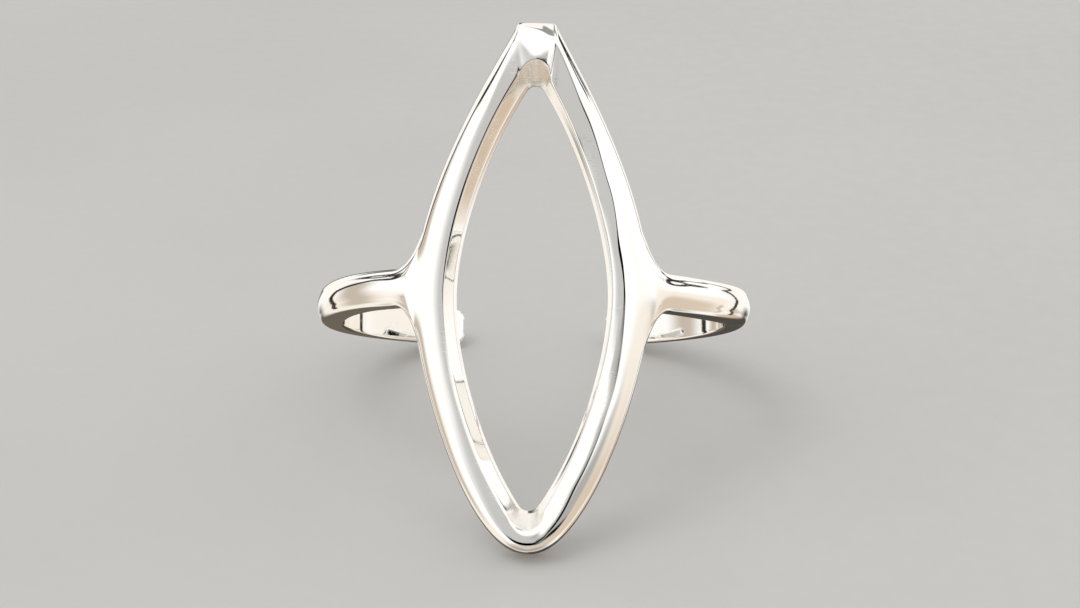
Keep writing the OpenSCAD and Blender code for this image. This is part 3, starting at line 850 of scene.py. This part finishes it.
def polished_silver():
    """Mirror-polished silver with fine scratches, faint smudges and wear on its edges."""
    material, tree, shader = new_material("polished_silver")
    place = node(tree, "ShaderNodeTexCoord").outputs["Object"]
    place = vectors(tree, "SCALE", "Vector", Vector=place, Scale=1 / MM)
    sharpness = node(tree, "ShaderNodeNewGeometry").outputs["Pointiness"]

    scratched = scratches(tree, place)
    smudge = pattern(tree, place, *SMUDGES)
    worn = times(tree, ranged(tree, sharpness, *WORN_EDGES, (0, 1)), pattern(tree, place, *WEAR))
    hollow = ranged(tree, sharpness, *CREASED_HOLLOWS, (1, 0))

    colour = blend(tree, times(tree, smudge, HANDLED_SHARE), SILVER, HANDLED)
    colour = blend(tree, times(tree, hollow, CREASES_SHARE), colour, CREASES)
    rough = ranged(tree, smudge, 0, 1, (CLEAN_ROUGHNESS, SMUDGED_ROUGHNESS))
    for share, added in ((worn, WORN_ROUGHNESS), (scratched, SCRATCHED_ROUGHNESS),
                         (dull_places(tree, place), DULL_ROUGHNESS)):
        rough = maths(tree, "ADD", rough, times(tree, share, added))
    shader.inputs["Metallic"].default_value = 1
    link_surface(tree, shader, colour, rough, polishing_marks(tree, place, scratched))
    return material


def make_ring():
    mesh = ring_mesh()
    mesh.transform(PLACE)
    mesh.materials.append(polished_silver())
    ring = bpy.data.objects.new("silver_ring", mesh)
    bpy.context.collection.objects.link(ring)
    smoothing = ring.modifiers.new("smoothing", "SUBSURF")
    smoothing.levels = SUBDIVISIONS
    smoothing.render_levels = SUBDIVISIONS
    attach(ring, "root")
    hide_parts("ring")
    return ring


# The camera, in the upright ring's frame, in millimetres and degrees: it looks up a little, from just
# right of the front, and aims a little right of the ring's middle and above it
CAMERA_DISTANCE = 100.0
CAMERA_RISE = 6.27
CAMERA_YAW = 0.41
CAMERA_ROLL = 0.19
CAMERA_AIM = (0.286, 0.26)
CAMERA_LENS = 72.9
SENSOR = 36.0
# Nearest distance that the camera sees, in metres
CLIP_START = 0.001


def make_camera():
    """The camera at the photograph's angle to the ring."""
    rise, yaw = math.radians(CAMERA_RISE), math.radians(CAMERA_YAW)
    ahead = Vector((-math.cos(rise) * math.sin(yaw), math.cos(rise) * math.cos(yaw), math.sin(rise)))
    right = Vector((math.cos(yaw), math.sin(yaw), 0))
    up = right.cross(ahead)
    place = -CAMERA_DISTANCE * ahead
    aim = CAMERA_AIM[0] * right + CAMERA_AIM[1] * up
    ahead = (aim - place).normalized()
    right = ahead.cross(up).normalized()
    up = right.cross(ahead)
    turn = Matrix.Rotation(-math.radians(CAMERA_ROLL), 3, ahead)
    right, up = turn @ right, turn @ up
    axes = Matrix((right, up, -ahead)).transposed().to_4x4()
    data = bpy.data.cameras.new("camera")
    data.lens = CAMERA_LENS
    data.sensor_width = SENSOR
    data.clip_start = CLIP_START
    camera = bpy.data.objects.new("camera", data)
    lean = PLACE.to_3x3().normalized().to_4x4()
    camera.matrix_world = Matrix.Translation(PLACE @ place) @ lean @ axes
    bpy.context.collection.objects.link(camera)
    bpy.context.scene.camera = camera


# The floor, the round wall far behind it and the lamp that gives the ring its soft shadow, in metres
FLOOR_R = 1.6
WALL_H = 1.2
WALL_SIDES = 64
LAMP_PLACE = (-0.16, -0.05, 0.34)
LAMP_SIZE = 0.2
LAMP_POWER = 0.25
# The plaster's two tones, the clouds in which they mix, as a pattern per metre, and its grain: size and
# detail, the range in which it changes the roughness, between two values, and its bump and height
PLASTER = (0.5, 0.495, 0.485, 1)
PALER_PLASTER = (0.515, 0.51, 0.5, 1)
CLOUDS = (30.0, 3.0, 0.35, 0.65, (0, 1))
GRAIN = (900.0, 4.0)
GRAIN_ROUGHNESS = (0.3, 0.7, (0.55, 0.7))
GRAIN_STRENGTH = 0.25
GRAIN_HEIGHT = 0.00005


def pale_plaster():
    """Plain pale surface with a faint grain."""
    material, tree, shader = new_material("pale_plaster")
    place = node(tree, "ShaderNodeTexCoord").outputs["Object"]
    grain = noise(tree, place, *GRAIN)
    colour = blend(tree, pattern(tree, place, *CLOUDS), PLASTER, PALER_PLASTER)
    bump = node(tree, "ShaderNodeBump", Strength=GRAIN_STRENGTH, Distance=GRAIN_HEIGHT, Height=grain)
    link_surface(tree, shader, colour, ranged(tree, grain, *GRAIN_ROUGHNESS), bump)
    return material


def backdrop_part(name, points, faces, material):
    """Part of the backdrop. It isn't mirrored in the metal, which mirrors the studio."""
    data = bpy.data.meshes.new(name)
    data.from_pydata(points, [], faces)
    data.materials.append(material)
    part = bpy.data.objects.new(name, data)
    bpy.context.collection.objects.link(part)
    part.visible_glossy = False
    return part


def make_floor():
    """A plain pale floor and a round wall far behind it."""
    material = pale_plaster()
    turns = [2 * math.pi * k / WALL_SIDES for k in range(WALL_SIDES)]
    edge = [(FLOOR_R * math.cos(a), FLOOR_R * math.sin(a), 0) for a in turns]
    backdrop_part("floor", edge, [tuple(range(WALL_SIDES))], material)
    top = [(x, y, WALL_H) for x, y, _ in edge]
    faces = [(k, (k + 1) % WALL_SIDES, WALL_SIDES + (k + 1) % WALL_SIDES, WALL_SIDES + k)
             for k in range(WALL_SIDES)]
    wall = backdrop_part("wall", edge + top, faces, material)
    wall.visible_shadow = False
    wall.visible_diffuse = False


def make_lamp():
    """A soft lamp from the upper left, for the shadow only."""
    data = bpy.data.lights.new("lamp", "AREA")
    data.size = LAMP_SIZE
    data.energy = LAMP_POWER
    lamp = bpy.data.objects.new("lamp", data)
    place = Vector(LAMP_PLACE)
    lamp.matrix_world = Matrix.Translation(place) @ place.to_track_quat("Z", "Y").to_matrix().to_4x4()
    bpy.context.collection.objects.link(lamp)
    lamp.visible_glossy = False


# What the metal mirrors, as seen from the front of the leaning ring: azimuth from the viewer's side,
# positive to the right, and rise along the finger's axis, in degrees. Each row is a panel: azimuth from
# and to, rise from and to, softness of its borders in azimuth and in rise, colour. A later panel lies
# over the earlier ones, and all of them lie over the surroundings.
SURROUNDINGS = (1.05, 1.02, 0.98)
WHITE = (1.12, 1.12, 1.12)
GREY = (0.6, 0.6, 0.595)
CREAM = (1.0, 0.93, 0.85)
DARK = (0.04, 0.03, 0.022)
BLACK = (0.0, 0.0, 0.0)
FLOOR_TONE = (0.42, 0.4, 0.375)
PANELS = (
    # White light from both sides, with grey between them and low on the right
    (-127, 28, -60, 62, 4, 6, WHITE),
    (-34, 40, -60, 14, 40, 5, GREY),
    (24, 127, -60, 62, 2, 6, WHITE),
    (24, 100, -60, -1, 6, 12, (0.46, 0.45, 0.44)),
    # Warmer light low on both sides
    (70, 128, -60, 10, 24, 16, CREAM),
    (-160, -84, -60, -2, 24, 16, CREAM),
    # Tan cards
    (66, 116, -60, -10, 20, 20, (0.72, 0.61, 0.49)),
    (-122, -98, -26, 27, 18, 14, (0.6, 0.52, 0.44)),
    (131, 155, -30, -6, 6, 8, (0.66, 0.52, 0.4)),
    (117, 121, -22, -9, 2, 5, (0.68, 0.55, 0.43)),
    # Grey cards, right of the viewer and high on the right
    (2, 27, 2, 13, 6, 10, (0.5, 0.495, 0.48)),
    (36, 60, 47, 75, 6, 6, (0.33, 0.34, 0.31)),
    # Black cards in front, the last two of them low
    (5, 25, -14, 8, 3, 5, BLACK),
    (-26, 12, -26, -9.5, 6, 4, BLACK),
    (12, 62, -36, -22, 8, 6, BLACK),
    # The dark room behind
    (-190, -152, -36, 2, 14, 8, (0.15, 0.125, 0.1)),
    (-190, -163, 6, 60, 8, 8, (0.04, 0.038, 0.035)),
    (-170, -136, 35, 60, 8, 6, (0.2, 0.18, 0.16)),
    (150, 190, -38, 2, 14, 8, (0.08, 0.07, 0.06)),
    # The table under the ring, and the floor behind it
    (-180, 180, -90, -54, 1, 10, (0.74, 0.62, 0.5)),
    (-210, -118, -74, -44, 40, 12, FLOOR_TONE),
    (118, 210, -74, -44, 40, 12, FLOOR_TONE),
)
# Dark streaks over them: half width, softness, colour, and the azimuth and rise of their points
STREAKS = (
    (2.8, 2.5, DARK, ((-133, -12), (-133, 2), (-129, 12), (-121, 19), (-113, 25), (-105, 32), (-98, 34),
                      (-90, 34))),
    (2, 2, DARK, ((133, -12), (134, 2), (137, 10), (137, 20), (132, 29), (126, 33.5), (119, 32), (112, 33),
                  (104, 35), (97, 33), (90, 32))),
)


def directions(tree):
    """Azimuth and rise of the direction that a ray takes, in radians."""
    lean = PLACE.to_euler().x
    way = node(tree, "ShaderNodeTexCoord").outputs["Generated"]
    turned = node(tree, "ShaderNodeVectorRotate", rotation_type="X_AXIS", Vector=way, Angle=-lean)
    parts = node(tree, "ShaderNodeSeparateXYZ", Vector=turned.outputs["Vector"])
    forward = times(tree, parts.outputs["Y"], -1.0)
    azimuth = maths(tree, "ARCTAN2", parts.outputs["X"], forward)
    rise = node(tree, "ShaderNodeMath", operation="ARCSINE", i0=parts.outputs["Z"]).outputs["Value"]
    return azimuth, rise


def border(tree, value, place, softness, ends):
    """From the first end to the second across a place; place and softness are in degrees."""
    low, high = math.radians(place - softness / 2), math.radians(place + softness / 2)
    return ranged(tree, value, low, high, ends)


def band(tree, value, low, high, softness):
    """1 between two places and 0 outside them."""
    return times(tree, border(tree, value, low, softness, (0, 1)),
                 border(tree, value, high, softness, (1, 0)))


def off_line(tree, place, a, b):
    """Distance of a place from the line between two points."""
    away = vectors(tree, "SUBTRACT", "Vector", i0=place, i1=a)
    share = vectors(tree, "DOT_PRODUCT", "Value", i0=away, i1=(b - a) / (b - a).length_squared)
    share = node(tree, "ShaderNodeClamp", Value=share).outputs["Result"]
    foot = vectors(tree, "SCALE", "Vector", Vector=b - a, Scale=share)
    return vectors(tree, "DISTANCE", "Value", i0=away, i1=foot)


def off_streak(tree, place, corners):
    """Distance of a place from the bent line through a streak's points."""
    corners = [Vector((math.radians(a), math.radians(e), 0)) for a, e in corners]
    nearest, *others = [off_line(tree, place, a, b) for a, b in zip(corners, corners[1:])]
    for other in others:
        nearest = maths(tree, "MINIMUM", nearest, other)
    return nearest


def make_world():
    """The studio round the ring, worked out from directions."""
    world = bpy.data.worlds.new("studio")
    bpy.context.scene.world = world
    world.use_nodes = True
    tree = world.node_tree
    tree.nodes.clear()
    azimuth, rise = directions(tree)

    colour = (*SURROUNDINGS, 1)
    for a0, a1, r0, r1, side_softness, rise_softness, tint in PANELS:
        share = times(tree, band(tree, azimuth, a0, a1, side_softness),
                      band(tree, rise, r0, r1, rise_softness))
        colour = blend(tree, share, colour, (*tint, 1))

    place = node(tree, "ShaderNodeCombineXYZ", X=azimuth, Y=rise).outputs["Vector"]
    for half_w, softness, tint, corners in STREAKS:
        share = border(tree, off_streak(tree, place, corners), half_w, softness, (1, 0))
        colour = blend(tree, share, colour, (*tint, 1))

    sky = node(tree, "ShaderNodeBackground", Color=colour, Strength=1.0)
    node(tree, "ShaderNodeOutputWorld", Surface=sky.outputs["Background"])


make_camera()
make_ring()
make_floor()
make_lamp()
make_world()
bpy.context.scene.view_settings.view_transform = "Standard"
